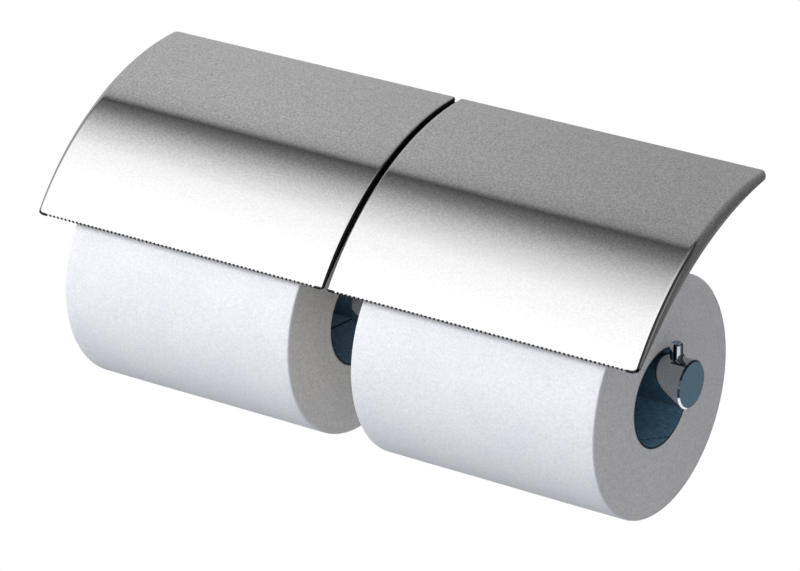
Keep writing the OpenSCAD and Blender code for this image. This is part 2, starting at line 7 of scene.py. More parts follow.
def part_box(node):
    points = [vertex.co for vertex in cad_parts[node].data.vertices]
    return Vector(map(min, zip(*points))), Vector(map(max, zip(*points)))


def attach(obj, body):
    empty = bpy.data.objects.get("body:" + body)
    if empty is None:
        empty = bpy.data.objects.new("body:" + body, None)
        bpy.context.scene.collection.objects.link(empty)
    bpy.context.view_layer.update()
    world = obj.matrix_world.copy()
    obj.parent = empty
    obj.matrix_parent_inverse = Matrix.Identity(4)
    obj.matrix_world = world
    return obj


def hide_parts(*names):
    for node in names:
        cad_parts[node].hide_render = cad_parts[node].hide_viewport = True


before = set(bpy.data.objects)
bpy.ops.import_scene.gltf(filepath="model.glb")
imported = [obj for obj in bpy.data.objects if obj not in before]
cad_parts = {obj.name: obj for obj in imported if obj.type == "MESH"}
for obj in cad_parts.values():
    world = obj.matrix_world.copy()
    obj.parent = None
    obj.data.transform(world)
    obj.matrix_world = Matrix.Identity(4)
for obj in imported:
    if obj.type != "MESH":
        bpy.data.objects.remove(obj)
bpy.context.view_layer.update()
print("frame loaded:", len(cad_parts), "nodes")


class Wire:  # an output socket that can stand in sums
    def __init__(self, bench, socket):
        self.bench, self.socket = bench, socket

    def calc(self, operation, first, second):
        return self.bench.node("ShaderNodeMath", {"operation": operation}, {0: first, 1: second})

    def __add__(self, other):
        return self.calc("ADD", self, other)

    def __sub__(self, other):
        return self.calc("SUBTRACT", self, other)

    def __rsub__(self, other):
        return self.calc("SUBTRACT", other, self)

    def __mul__(self, other):
        return self.calc("MULTIPLY", self, other)

    def __truediv__(self, other):
        return self.calc("DIVIDE", self, other)

    def __pow__(self, other):
        return self.calc("POWER", self, other)

    def __gt__(self, other):
        return self.calc("GREATER_THAN", self, other)

    def __lt__(self, other):
        return self.calc("LESS_THAN", self, other)

    __radd__ = __add__
    __rmul__ = __mul__

    def most(self, other):
        return self.calc("MAXIMUM", self, other)

    def least(self, other):
        return self.calc("MINIMUM", self, other)

    def size(self):  # without its sign
        return self.most(self * -1)

    def turnFrom(self, other):  # the angle whose tangent is this wire over the other one
        return self.calc("ARCTAN2", self, other)

    def folded(self, reach):  # runs up and down between 0 and reach
        return self.calc("PINGPONG", self, reach)

    def out(self, name):  # another output of the same node
        return Wire(self.bench, self.socket.node.outputs[name])


class Bench:  # a node tree and the one way to put nodes on it
    def __init__(self, tree):
        self.tree = tree
        tree.nodes.clear()

    def node(self, kind, settings=None, inputs=None, output=0):
        made = self.tree.nodes.new(kind)
        for name, value in (settings or {}).items():
            if name == "stops":
                self.setStops(made.color_ramp, value)
            else:
                setattr(made, name, value)
        for key, value in (inputs or {}).items():
            socket = made.inputs[key]
            if isinstance(value, Wire):
                self.tree.links.new(value.socket, socket)
            else:
                socket.default_value = (*value, 1) if socket.type == "RGBA" and len(value) == 3 else value
        return Wire(self, made.outputs[output]) if len(made.outputs) else None

    def setStops(self, ramp, stops):
        while len(ramp.elements) < len(stops):
            ramp.elements.new(1)
        for element, (place, grey) in zip(ramp.elements, stops):
            element.position = place
            element.color = (grey, grey, grey, 1)

    def mixColours(self, share, first, second):
        return self.node("ShaderNodeMix", {"data_type": "RGBA"}, {0: share, 6: first, 7: second}, 2)

    def smooth(self, value, low, high, start=0.0, stop=1.0):
        return self.node("ShaderNodeMapRange", {"interpolation_type": "SMOOTHSTEP"},
                         {0: value, 1: low, 2: high, 3: start, 4: stop})

    def speckle(self, place, scale, detail=2.0, rough=0.5):  # from 0 to 1, about 0.5
        return self.node("ShaderNodeTexNoise", {}, {"Vector": place, "Scale": scale, "Detail": detail,
                                                    "Roughness": rough}, "Fac")

    def spread(self, speckle, start=0.0, stop=1.0):  # nearly all of a speckle lies between 0.3 and 0.7
        return self.smooth(speckle, 0.3, 0.7, start, stop)

    def grain(self, place, scale):
        return self.spread(self.speckle(place, scale, 3.0, 0.6))

    def place(self, kind="Object"):
        return self.node("ShaderNodeTexCoord", {}, {}, kind)

    def split(self, vector):
        x = self.node("ShaderNodeSeparateXYZ", {}, {0: vector}, "X")
        return x, x.out("Y"), x.out("Z")

    def stretch(self, place, factors):
        return self.node("ShaderNodeVectorMath", {"operation": "MULTIPLY"}, {0: place, 1: factors})


def newFinish(name):
    material = bpy.data.materials.new(name)
    material.use_nodes = True
    return material, Bench(material.node_tree)


def closeFinish(bench, inputs):
    surface = bench.node("ShaderNodeBsdfPrincipled", {}, inputs)
    bench.node("ShaderNodeOutputMaterial", {}, {"Surface": surface})


def bumpOf(bench, height, distance):
    return bench.node("ShaderNodeBump", {}, {"Height": height, "Distance": distance}, "Normal")


def darker(tint, share):
    return tuple(share * v for v in tint)


# camera at the photograph's angle, level, on the line through a point near the roll axis
camera = {"azimuth": 34.586, "elevation": 22.661, "distance": 1.80485, "lens": 200.053, "sensor": 36,
          "clip": (0.01, 50), "target": (-0.00022, -0.05278, -0.03245)}


def standBack(made, look):  # puts it away from the camera's target and turns it to the target
    a, e = math.radians(look["azimuth"]), math.radians(look["elevation"])
    back = Vector((math.sin(a) * math.cos(e), -math.cos(a) * math.cos(e), math.sin(e)))
    made.location = Vector(camera["target"]) + back * look["distance"]
    made.rotation_mode = "QUATERNION"
    made.rotation_quaternion = (-back).to_track_quat("-Z", "Y")
    bpy.context.scene.collection.objects.link(made)


def placeCamera():
    data = bpy.data.cameras.new("photoCamera")
    data.sensor_width, data.lens = camera["sensor"], camera["lens"]
    data.clip_start, data.clip_end = camera["clip"]
    made = bpy.data.objects.new("photoCamera", data)
    standBack(made, camera)
    bpy.context.scene.camera = made


placeCamera()
print("camera placed")


# studio: one large soft lamp in front on the left and an even fill, white all round for the camera.
# Metal mirrors a room: a soft white front with a black edge, a grey wall behind, mostly dark below.
# The stops of its ramps are (place, brightness), and the other pairs are where a change starts and ends
softLamp = {"power": 38.0, "size": (1.3, 0.9), "distance": 2.2, "azimuth": -28.0, "elevation": 33.0}
paleFloor = {"drop": 1.6, "radius": 1.6, "points": 96, "tone": (0.9, 0.9, 0.9), "glow": 0.9}
studio = {
    "fillAbove": (0.45, 0.445, 0.435), "fillBelow": (0.29, 0.307, 0.385), "fillEnds": (-0.5, 0.4),
    "linePlace": 0.099, "lineLean": 0.3, "spread": 1.18, "spreadLean": 3.3, "middle": -0.53,
    "sides": (-0.6, -0.45), "frontReach": 0.6, "backReach": 0.2, "glow": 1.3,
    "front": [(0.0, 0.06), (0.12, 0.17), (0.28, 0.43), (0.36, 0.56), (0.58, 0.86), (0.9, 1.0)],
    "back": [(0.0, 0.17), (0.08, 0.36), (0.13, 0.52), (0.20, 0.72), (0.30, 0.82), (0.50, 0.93), (1.0, 1.0)],
    "wall": [(0.22, 0.37), (0.26, 0.27), (0.34, 0.24), (0.43, 0.18), (0.63, 0.13), (0.83, 0.09)],
    "side": [(0.57, 0.04), (0.77, 0.04), (0.86, 0.2), (0.93, 0.27), (0.98, 0.13)],
    "sideLean": 0.35, "sideStart": (0.08, 0.14), "sideLow": 0.115, "sideEnds": (0.30, 0.42),
    "below": [(0.0, 0.006), (0.35, 0.006), (0.375, 0.75), (0.50, 0.75), (0.545, 0.17), (0.69, 0.17),
              (0.75, 0.012), (1.0, 0.012)],
    "belowStart": (-0.08, -0.2),
}


def ramp(bench, value, stops):  # times 1 turns its grey into a plain value
    return bench.node("ShaderNodeValToRGB", {"stops": stops}, {0: value}) * 1.0


def mirroredRoom(bench, x, y, z):
    aside = x.most(studio["sides"][0]).least(studio["sides"][1]) - studio["middle"]
    line = studio["linePlace"] - studio["lineLean"] * aside  # the dark line between the front and the wall
    spread = studio["spread"] + studio["spreadLean"] * aside
    front = ramp(bench, (line - y) / spread / studio["frontReach"], studio["front"])
    wall = ramp(bench, (x + 1) / 2, studio["wall"])
    wall = wall * ramp(bench, (y - line) / studio["backReach"], studio["back"])
    behind = y > line
    lit = (front * (1 - behind) + wall * behind) * studio["glow"]
    across = x + studio["sideLean"] * y
    side = ramp(bench, (across + 1) / 2, studio["side"])
    high = bench.smooth(z, *studio["sideEnds"])
    side = side * high + studio["sideLow"] * (1 - high)
    beside = bench.smooth(across, *studio["sideStart"]) * (1 - behind)
    room = lit * (1 - beside) + side * beside
    turn = y.turnFrom(x) / (2 * math.pi) + 0.5
    low = bench.smooth(z, *studio["belowStart"])
    return room * (1 - low) + ramp(bench, turn, studio["below"]) * low


def lightRoom():
    world = bpy.data.worlds.new("studioRoom")
    bpy.context.scene.world = world
    world.use_nodes = True
    bench = Bench(world.node_tree)
    x, y, z = bench.split(bench.place("Generated"))
    fill = bench.mixColours(bench.smooth(z, *studio["fillEnds"]), studio["fillBelow"], studio["fillAbove"])
    ray = bench.node("ShaderNodeLightPath", {}, {}, "Is Camera Ray")
    shiny = ray.out("Is Glossy Ray").most(ray.out("Is Transmission Ray"))
    seen = bench.mixColours(shiny, fill, mirroredRoom(bench, x, y, z))
    seen = bench.mixColours(ray, seen, (1, 1, 1))
    shown = bench.node("ShaderNodeBackground", {}, {"Color": seen})
    bench.node("ShaderNodeOutputWorld", {}, {"Surface": shown})


def hangLamp():
    data = bpy.data.lights.new("softLamp", "AREA")
    data.shape, data.size, data.size_y = "RECTANGLE", *softLamp["size"]
    data.energy = softLamp["power"]
    made = bpy.data.objects.new("softLamp", data)
    standBack(made, softLamp)
    made.visible_glossy = False
    made.visible_camera = False


def layFloor():
    turns = [2 * math.pi * i / paleFloor["points"] for i in range(paleFloor["points"])]
    ring = [(paleFloor["radius"] * math.cos(t), paleFloor["radius"] * math.sin(t), 0) for t in turns]
    mesh = bpy.data.meshes.new("floor")
    mesh.from_pydata(ring, [], [list(range(len(ring)))])
    made = bpy.data.objects.new("floor", mesh)
    made.location = (0, 0, -paleFloor["drop"])
    bpy.context.scene.collection.objects.link(made)
    material, bench = newFinish("paleFloor")
    plain = bench.node("ShaderNodeBsdfDiffuse", {}, {"Color": paleFloor["tone"]})
    glow = bench.node("ShaderNodeEmission", {}, {"Color": (1, 1, 1), "Strength": 1.0})
    ray = bench.node("ShaderNodeLightPath", {}, {}, "Is Camera Ray")
    seen = ray + ray.out("Is Glossy Ray") + ray.out("Is Transmission Ray")
    mixed = bench.node("ShaderNodeMixShader", {}, {0: seen * paleFloor["glow"], 1: plain, 2: glow})
    bench.node("ShaderNodeOutputMaterial", {}, {"Surface": mixed})
    mesh.materials.append(material)


lightRoom()
hangLamp()
layFloor()
bpy.context.scene.view_settings.view_transform = "Standard"
print("studio lit")


# finishes of the metal and plastic parts. Stripes are painted dark reflections, given as (from, to, tint)
# in radians round the axis, and they show on points that lie further from the middle of the holder than
# beyond
shaftPlate = {"tint": (0.45, 0.48, 0.50), "grain": 1100.0, "contrast": 0.3, "rough": (0.05, 0.10),
              "about": "X", "beyond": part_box("right_stop_peg")[1].x - 0.0026,
              "stripes": [(-1.22, -1.11, (0.02, 0.03, 0.04))]}
pegPlate = {"tint": (0.72, 0.82, 0.90), "grain": 1100.0, "contrast": 0.1, "rough": (0.03, 0.06),
            "about": "Z", "beyond": 0.0,
            "stripes": [(-1.56, -1.21, (0.01, 0.01, 0.015)), (-0.234, 0.7, (0.16, 0.24, 0.33))]}
# the cap's blue face, light chamfer and grey side are painted reflections
capPlate = {"tint": (0.44, 0.74, 1.0), "side": (0.45, 0.48, 0.50), "chamfer": (0.88, 0.93, 0.97),
            "grain": 1100.0, "contrast": 0.2, "rough": (0.05, 0.10), "about": "X", "beyond": 0.0,
            "stripes": [(-0.2, 0.24, (0.02, 0.03, 0.04)), (-2.2, -0.52, (0.05, 0.07, 0.09))],
            "chamferStart": (0.4, 0.6), "faceStart": (0.8, 0.95)}
plating = {"stripeSoft": 0.03, "grainShade": 0.4, "smudges": 22.0, "smudgeEnds": (0.35, 0.7)}


def striped(bench, place, look, tint):  # dark reflections that run along a shaft, a peg or a chamfer
    x, y, z = bench.split(bench.place("Normal"))
    angle = (z * -1).turnFrom(y * -1) if look["about"] == "X" else y.turnFrom(x)
    shown = bench.split(place)[0].size() > look["beyond"]
    soft = plating["stripeSoft"]
    for start, stop, shade in look["stripes"]:
        started = bench.smooth(angle, start - soft, start + soft)
        within = started * bench.smooth(angle, stop + soft, stop - soft)
        tint = bench.mixColours(within * shown, tint, shade)
    return tint


def smudged(bench, place, rough):  # roughness that drifts as on a wiped surface
    return bench.smooth(bench.speckle(place, plating["smudges"], 3.0), *plating["smudgeEnds"], *rough)


def platedFinish(name, look):
    material, bench = newFinish(name)
    place = bench.place()
    tint = striped(bench, place, look, look.get("chamfer", look["tint"]))
    if "side" in look:  # an end cap: its face, its chamfer and its side get their own tints, painted reflections
        facing = bench.split(bench.place("Normal"))[0].size()
        side = striped(bench, place, shaftPlate, look["side"])
        tint = bench.mixColours(bench.smooth(facing, *look["chamferStart"]), side, tint)
        tint = bench.mixColours(bench.smooth(facing, *look["faceStart"]), tint, look["tint"])
    grain = bench.grain(place, look["grain"]) * look["contrast"]
    closeFinish(bench, {
        "Base Color": bench.mixColours(grain, tint, darker(look["tint"], plating["grainShade"])),
        "Metallic": 1.0, "Roughness": smudged(bench, place, look["rough"]),
    })
    return material


castMetal = {"tint": (0.52, 0.52, 0.53), "shade": 0.86, "clouds": 60.0, "pits": 900.0, "pitDepth": 0.00006,
             "metallic": 0.9, "rough": (0.38, 0.52)}


def castFinish():
    material, bench = newFinish("castBody")
    place = bench.place()
    pits = bench.speckle(place, castMetal["pits"], 4.0, 0.6)
    clouds = bench.spread(bench.speckle(place, castMetal["clouds"], 3.0))
    shade = darker(castMetal["tint"], castMetal["shade"])
    closeFinish(bench, {
        "Base Color": bench.mixColours(clouds, castMetal["tint"], shade),
        "Metallic": castMetal["metallic"], "Roughness": bench.spread(pits, *castMetal["rough"]),
        "Normal": bumpOf(bench, pits, castMetal["pitDepth"]),
    })
    return material


zincSheet = {"tint": (0.62, 0.63, 0.65), "shade": (0.42, 0.43, 0.45), "share": 0.25, "spangles": 260.0,
             "spangleEnds": (0.2, 0.8), "rough": (0.25, 0.42),
             "lines": 1800.0, "lineStretch": (0.06, 1.0, 1.0), "lineDepth": 0.00003}  # left by the rolling


def zincFinish():
    material, bench = newFinish("zincSheet")
    place = bench.place()
    spangle = bench.node("ShaderNodeTexVoronoi", {"feature": "F1"},
                         {"Vector": place, "Scale": zincSheet["spangles"]}, "Color")
    grey = bench.node("ShaderNodeRGBToBW", {}, {0: spangle})
    lines = bench.speckle(bench.stretch(place, zincSheet["lineStretch"]), zincSheet["lines"])
    closeFinish(bench, {
        "Base Color": bench.mixColours(grey * zincSheet["share"], zincSheet["tint"], zincSheet["shade"]),
        "Metallic": 1.0, "Roughness": bench.smooth(grey, *zincSheet["spangleEnds"], *zincSheet["rough"]),
        "Normal": bumpOf(bench, lines, zincSheet["lineDepth"]),
    })
    return material


screwSteel = {"tint": (0.30, 0.30, 0.31), "worn": (0.5, 0.5, 0.5), "wear": 700.0, "wearEnds": (0.55, 0.75),
              "wearDepth": 0.00003, "rough": (0.3, 0.45)}


def screwFinish():
    material, bench = newFinish("oiledScrewSteel")
    wear = bench.speckle(bench.place(), screwSteel["wear"], 4.0, 0.7)
    worn = bench.smooth(wear, *screwSteel["wearEnds"])
    closeFinish(bench, {
        "Base Color": bench.mixColours(worn, screwSteel["tint"], screwSteel["worn"]), "Metallic": 1.0,
        "Roughness": bench.spread(wear, *screwSteel["rough"]),
        "Normal": bumpOf(bench, wear, screwSteel["wearDepth"]),
    })
    return material


rodSteel = {"tint": (0.70, 0.70, 0.71), "shade": (0.5, 0.5, 0.52), "share": 0.3, "rough": (0.18, 0.3),
            "lines": 5000.0, "lineStretch": (1.0, 0.1, 0.1), "lineDepth": 0.00001}  # left by the grinding


def rodFinish():
    material, bench = newFinish("groundRodSteel")
    lines = bench.speckle(bench.stretch(bench.place(), rodSteel["lineStretch"]), rodSteel["lines"])
    closeFinish(bench, {
        "Base Color": bench.mixColours(lines * rodSteel["share"], rodSteel["tint"], rodSteel["shade"]),
        "Metallic": 1.0, "Roughness": bench.spread(lines, *rodSteel["rough"]),
        "Normal": bumpOf(bench, lines, rodSteel["lineDepth"]),
    })
    return material


bushNylon = {"tint": (0.80, 0.78, 0.72), "shade": (0.74, 0.72, 0.66), "clouds": 300.0,
             "cloudDepth": 0.00003, "rough": (0.4, 0.5), "softness": 0.15,
             "softReach": (0.001, 0.001, 0.001)}


def nylonFinish():
    material, bench = newFinish("bushNylon")
    clouds = bench.speckle(bench.place(), bushNylon["clouds"], 3.0)
    closeFinish(bench, {
        "Base Color": bench.mixColours(bench.spread(clouds), bushNylon["tint"], bushNylon["shade"]),
        "Roughness": bench.spread(clouds, *bushNylon["rough"]),
        "Subsurface Weight": bushNylon["softness"], "Subsurface Radius": bushNylon["softReach"],
        "Normal": bumpOf(bench, clouds, bushNylon["cloudDepth"]),
    })
    return material


padRubber = {"tint": (0.035, 0.035, 0.037), "dusty": (0.09, 0.09, 0.09), "dust": 500.0,
             "dustEnds": (0.5, 0.8), "dustDepth": 0.00005, "rough": (0.7, 0.85)}


def rubberFinish():
    material, bench = newFinish("padRubber")
    dust = bench.speckle(bench.place(), padRubber["dust"], 4.0, 0.7)
    dusty = bench.smooth(dust, *padRubber["dustEnds"])
    closeFinish(bench, {
        "Base Color": bench.mixColours(dusty, padRubber["tint"], padRubber["dusty"]),
        "Roughness": bench.spread(dust, *padRubber["rough"]),
        "Normal": bumpOf(bench, dust, padRubber["dustDepth"]),
    })
    return material


shaftMetal = platedFinish("shaftPlate", shaftPlate)
pegMetal = platedFinish("pegPlate", pegPlate)
capMetal = platedFinish("capPlate", capPlate)
castBody = castFinish()
zincSheetMetal = zincFinish()
screwMetal = screwFinish()
rodMetal = rodFinish()
nylon = nylonFinish()
rubber = rubberFinish()
print("metal and plastic finishes made")


# paper and card. Lengths are in metres, and the scales of speckles are cells to the metre
paperBox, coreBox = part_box("right_paper"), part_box("right_core")
roll = {
    "axisY": (coreBox[0].y + coreBox[1].y) / 2, "axisZ": (coreBox[0].z + coreBox[1].z) / 2,
    "inner": (coreBox[1].z - coreBox[0].z) / 2, "outer": (paperBox[1].z - paperBox[0].z) / 2,
    "near": paperBox[0].x, "far": paperBox[1].x, "edge": 0.0009, "edgeSteps": 5,
    "around": 220, "rings": 40, "rows": 28, "sheetStep": 0.0002, "tailAngle": 40.0, "evenBore": 0.003,
    "unevenness": 0.00025, "ringDepth": 0.00012,
    "ringWaves": (900, 0.25), "endWaves": (90, 1.2), "sideWaves": (30, 1.5),  # scales along and round it
    "waveSeed": 7, "farEndSeed": 5,
}
tissue = {
    "side": (0.902, 0.916, 0.944), "sideShade": (0.86, 0.876, 0.92), "sideGrain": 0.3, "clouds": 45.0,
    "cloudEnds": (0.3, 0.75), "fibres": 2600.0, "dents": 700.0, "dentShare": 0.4, "dentDepth": 0.00008,
    "end": (0.92, 0.912, 0.888), "bounceLitEnd": (0.99, 0.955, 0.885), "endLine": (0.60, 0.59, 0.58),
    "layers": 3800.0, "layerShare": 0.3, "layerEnds": (0.42, 0.75), "bands": 420.0, "bandShare": 0.12,
    "bandEnds": (0.45, 0.75), "winding": 0.0007, "drift": 60.0, "driftReach": 0.0006, "patches": 90.0,
    "dented": (0.6, 0.4), "layerDepth": 0.0001, "patchShare": 0.6, "wallShadeShare": 0.35,
    "wallShadeEnds": (-0.01, 0.045), "endGrain": 0.5,
    "grain": 1100.0, "grainShade": (0.52, 0.53, 0.55), "rough": 0.95, "shine": 0.1, "sheen": 0.1,
}
# the card's inner tones are blue-grey, painted shade for the bore; the left core's are lighter, painted
# light for the deeper shade between the rolls; the near-black end is painted shade at the bore's rim
card = {
    "end": (0.03, 0.055, 0.07), "endStart": (0.4, 0.8), "right": ((0.13, 0.30, 0.44), (0.26, 0.46, 0.62)),
    "left": ((0.28, 0.50, 0.64), (0.52, 0.72, 0.86)), "fibres": 1100.0, "fibreEnds": (0.35, 0.7),
    "fibreStretch": (0.4, 1.0, 1.0), "fibreDepth": 0.00006, "seam": (0.02, 0.025, 0.03), "seamDepth": 0.8,
    "seamPitch": 0.145, "stitchPitch": 0.00196, "stitchEnds": (0.12, 0.2), "rough": 0.9, "shine": 0.15,
    "seamHalf": 0.0032, "seamStart": {"left": -0.12, "right": 1.09},  # in turns round the core
    "seamSoft": 0.4,
}


def axisRadius(bench, place):  # distance along the roll, distance from its axis and angle round it
    x, y, z = bench.split(place)
    y, z = y - roll["axisY"], z - roll["axisZ"]
    return x, (y * y + z * z) ** 0.5, z.turnFrom(y)


def grained(bench, place, colour, share):  # the specks of the paper's fibres
    return bench.mixColours(bench.grain(place, tissue["grain"]) * share, colour, tissue["grainShade"])


def tissueSideFinish():
    material, bench = newFinish("tissueSide")
    place = bench.place()
    clouds = bench.smooth(bench.speckle(place, tissue["clouds"], 3.0), *tissue["cloudEnds"])
    colour = bench.mixColours(clouds, tissue["side"], tissue["sideShade"])
    dents = bench.speckle(place, tissue["fibres"], 3.0, 0.6) * (1 - tissue["dentShare"])
    dents = dents + bench.speckle(place, tissue["dents"]) * tissue["dentShare"]
    closeFinish(bench, {
        "Base Color": grained(bench, place, colour, tissue["sideGrain"]), "Roughness": tissue["rough"],
        "Specular IOR Level": tissue["shine"], "Sheen Weight": tissue["sheen"],
        "Normal": bumpOf(bench, dents, tissue["dentDepth"]),
    })
    return material


def tissueEndFinish(name, tint):  # faint rings of the wound layers, and painted shade that makes the face darker towards the wall
    material, bench = newFinish(name)
    place = bench.place()
    radius, angle = axisRadius(bench, place)[1:]
    radius = radius + bench.speckle(place, tissue["drift"]) * tissue["driftReach"]
    wound = bench.node("ShaderNodeCombineXYZ", {}, {0: radius, 1: angle * tissue["winding"], 2: 0.0})
    layers = bench.speckle(wound, tissue["layers"], 3.0, 0.65)
    bands = bench.speckle(wound, tissue["bands"])
    share = bench.smooth(layers, *tissue["layerEnds"]) * tissue["layerShare"]
    share = share + bench.smooth(bands, *tissue["bandEnds"]) * tissue["bandShare"]
    # painted shade: darker towards the wall
    backward = bench.split(place)[1] - roll["axisY"]
    share = share + bench.smooth(backward, *tissue["wallShadeEnds"]) * tissue["wallShadeShare"]
    share = share * (bench.speckle(place, tissue["patches"]) + 1) * tissue["patchShare"]
    colour = bench.mixColours(share, tint, tissue["endLine"])
    dents = layers * tissue["dented"][0] + bands * tissue["dented"][1]
    closeFinish(bench, {
        "Base Color": grained(bench, place, colour, tissue["endGrain"]), "Roughness": tissue["rough"],
        "Specular IOR Level": tissue["shine"],
        "Normal": bumpOf(bench, dents, tissue["layerDepth"]),
    })
    return material


def cardFinish(side):
    material, bench = newFinish(side + "CoreCard")
    # painted shade: blue-grey tones inside, lighter ones for the left core
    dark, light = card[side]
    place = bench.place()
    x, radius, angle = axisRadius(bench, place)
    facing = bench.split(bench.place("Normal"))[0].size()
    turn = angle / (2 * math.pi) - x / card["seamPitch"] + card["seamStart"][side]
    half, soft = card["seamHalf"], card["seamHalf"] * card["seamSoft"]
    seamLine = bench.smooth(turn.folded(0.5), half + soft, half - soft)  # where the card's edges meet
    if side == "right":  # this one shows as dashes
        seamLine = seamLine * bench.smooth((x / card["stitchPitch"]).folded(0.5), *card["stitchEnds"])
    fibres = bench.speckle(bench.stretch(place, card["fibreStretch"]), card["fibres"], 4.0, 0.7)
    inside = bench.mixColours(bench.smooth(fibres, *card["fibreEnds"]), dark, light)
    inside = bench.mixColours(seamLine, inside, card["seam"])
    closeFinish(bench, {
        # painted shade: the end faces are near black
        "Base Color": bench.mixColours(bench.smooth(facing, *card["endStart"]), inside, card["end"]),
        "Roughness": card["rough"], "Specular IOR Level": card["shine"],
        "Normal": bumpOf(bench, fibres - seamLine * card["seamDepth"], card["fibreDepth"]),
    })
    return material


tissueSide = tissueSideFinish()
tissueEnd = tissueEndFinish("tissueEnd", tissue["end"])
# painted bounce light: the left roll's end face, in the gap between the rolls, gets a warmer and lighter
# copy of the end tint
tissueEndBounceLit = tissueEndFinish("tissueEndBounceLit", tissue["bounceLitEnd"])
leftCard, rightCard = cardFinish("left"), cardFinish("right")


def wave(seed, along, turned, size):  # soft unevenness from 0 to 1 that closes round the roll
    a = 2 * math.pi * turned
    place = Vector((along * size[0], size[1] * math.cos(a), size[1] * math.sin(a) + seed))
    return 0.5 + 0.5 * noise.noise(place)


def endDip(radius, turned, seed):  # how far an end face of the paper stands back at a point
    share = min(1.0, (radius - roll["inner"]) / roll["evenBore"])
    rings = roll["ringDepth"] * wave(seed, radius, turned, roll["ringWaves"])
    waves = roll["unevenness"] * wave(seed + roll["waveSeed"], radius, turned, roll["endWaves"])
    return share * (rings + waves)


def sheetRadius(x, turned, seed):  # the outer sheet steps down where it ends
    uneven = roll["unevenness"] * wave(seed, x, turned, roll["sideWaves"])
    return roll["outer"] - roll["sheetStep"] * turned - uneven


def endRows(x, inward, seed, endSeed):  # one end, from the bore out over the rounded edge. inward: 1 or -1
    rim, edge, rows = roll["outer"] - roll["edge"], roll["edge"], []
    for k in range(roll["rings"]):
        radius = roll["inner"] + (rim - roll["inner"]) * k / (roll["rings"] - 1)
        rows.append((True, lambda t, r=radius: (x + inward * endDip(r, t, endSeed), r)))
    for k in range(1, roll["edgeSteps"]):
        a = math.pi / 2 * k / roll["edgeSteps"]
        c, s = 1 - math.cos(a), 1 - math.sin(a)
        rows.append((False, lambda t, c=c, s=s: (
            x + inward * (edge * c + endDip(rim, t, endSeed) * (1 - c)),
            sheetRadius(x, t, seed) - edge * s)))
    return rows


def rollRows(x0, x1, seed):  # (on an end face, place by share of a turn) from bore to bore over the side
    rows = endRows(x0, 1, seed, seed)
    for k in range(roll["rows"]):
        x = x0 + roll["edge"] + (x1 - x0 - 2 * roll["edge"]) * k / (roll["rows"] - 1)
        rows.append((False, lambda t, x=x: (x, sheetRadius(x, t, seed))))
    return rows + endRows(x1, -1, seed, seed + roll["farEndSeed"])[::-1]


def wrapRoll(name, x0, x1, seed, endFinish, body, nodeName):
    rows, points, faces, onEnd, rings = rollRows(x0, x1, seed), [], [], [], []
    around = roll["around"]
    for isEnd, place in rows:
        ring = []
        for i in range(around - 1 if isEnd else around):
            turned = i / (around - 1)  # the side's last point lies under the first, and the step joins them
            x, radius = place(turned)
            a = math.radians(roll["tailAngle"]) + 2 * math.pi * turned
            ring.append(len(points))
            points.append((x, roll["axisY"] + radius * math.cos(a), roll["axisZ"] + radius * math.sin(a)))
        rings.append(ring + ring[:1] if isEnd else ring)  # an end face closes without a step
    for r in range(len(rows)):
        s = (r + 1) % len(rows)  # the last row joins the first along the bore
        for i in range(around):
            j = (i + 1) % around
            corners = list(dict.fromkeys([rings[r][i], rings[s][i], rings[s][j], rings[r][j]]))
            if len(corners) > 2:
                faces.append(corners)
                onEnd.append(rows[r][0] and rows[s][0] and s != 0)
    mesh = bpy.data.meshes.new(name)
    mesh.from_pydata(points, [], faces)
    mesh.materials.append(tissueSide)
    mesh.materials.append(endFinish)
    for polygon, end in zip(mesh.polygons, onEnd):
        polygon.material_index = 1 if end else 0
        polygon.use_smooth = True
    made = bpy.data.objects.new(name, mesh)
    bpy.context.scene.collection.objects.link(made)
    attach(made, body)
    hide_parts(nodeName)


wrapRoll("left_wound_paper", -roll["far"], -roll["near"], 3.0, tissueEndBounceLit, "left_roll", "left_paper")
wrapRoll("right_wound_paper", roll["near"], roll["far"], 11.0, tissueEnd, "right_roll", "right_paper")
print("paper wound")


# covers: a curved sheet with rolled sides, crescent lips, round corners and teeth that turn down in front.
# Columns run across a cover and are places from its sides, rows run from back to front, and shares run
# over the strip at either end, up to the end itself
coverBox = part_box("right_cover")
cover = {
    "radius": 0.118, "lean": 91.4, "sweep": 55.0, "thick": 0.0012, "lipDepths": (0.0021, 0.0044, 0.0013),
    "roll": {-1: 0.0014, 1: 0.0033}, "corner": {-1: 0.0015, 1: 0.004},  # -1 beside the seam, 1 outside
    "rim": 0.0004, "innerRim": 0.00012, "pitch": 0.002, "depth": 0.0009, "margin": 0.0055,
    "bendRadius": 0.001, "bendReach": 0.00115, "bendAngle": 42.0, "coinThick": 0.0006, "coinReach": 0.003,
    "rollSteps": 12, "lipColumns": (0.0021, 0.0014, 0.0007), "lipEnd": 1.0, "pack": 0.00005,
    "seamColumns": (0.0022, 0.0033, 0.0045), "outerColumns": (0.0052, 0.0047, 0.0042, 0.0037),
    "toothShares": (0.0, 0.12, 0.38, 0.5, 0.62, 0.88), "rootShare": 0.04, "strip": 0.007, "step": 0.002,
    "backShares": (1.0, 0.9, 0.76, 0.6, 0.4, 0.2),
    "frontShares": (0.16, 0.34, 0.5, 0.62, 0.72, 0.8, 0.86, 0.89, 0.92, 0.95, 0.975, 1.0),
}
cover["x0"], cover["x1"] = coverBox[0].x, coverBox[1].x
cover["back"] = math.radians(cover["lean"])
cover["length"] = cover["radius"] * math.radians(cover["sweep"])
cover["middle"] = (cover["x0"] + cover["x1"]) / 2
cover["centreY"] = coverBox[1].y - cover["radius"] * math.cos(cover["back"])
cover["centreZ"] = coverBox[1].z - cover["radius"] * math.sin(cover["back"])


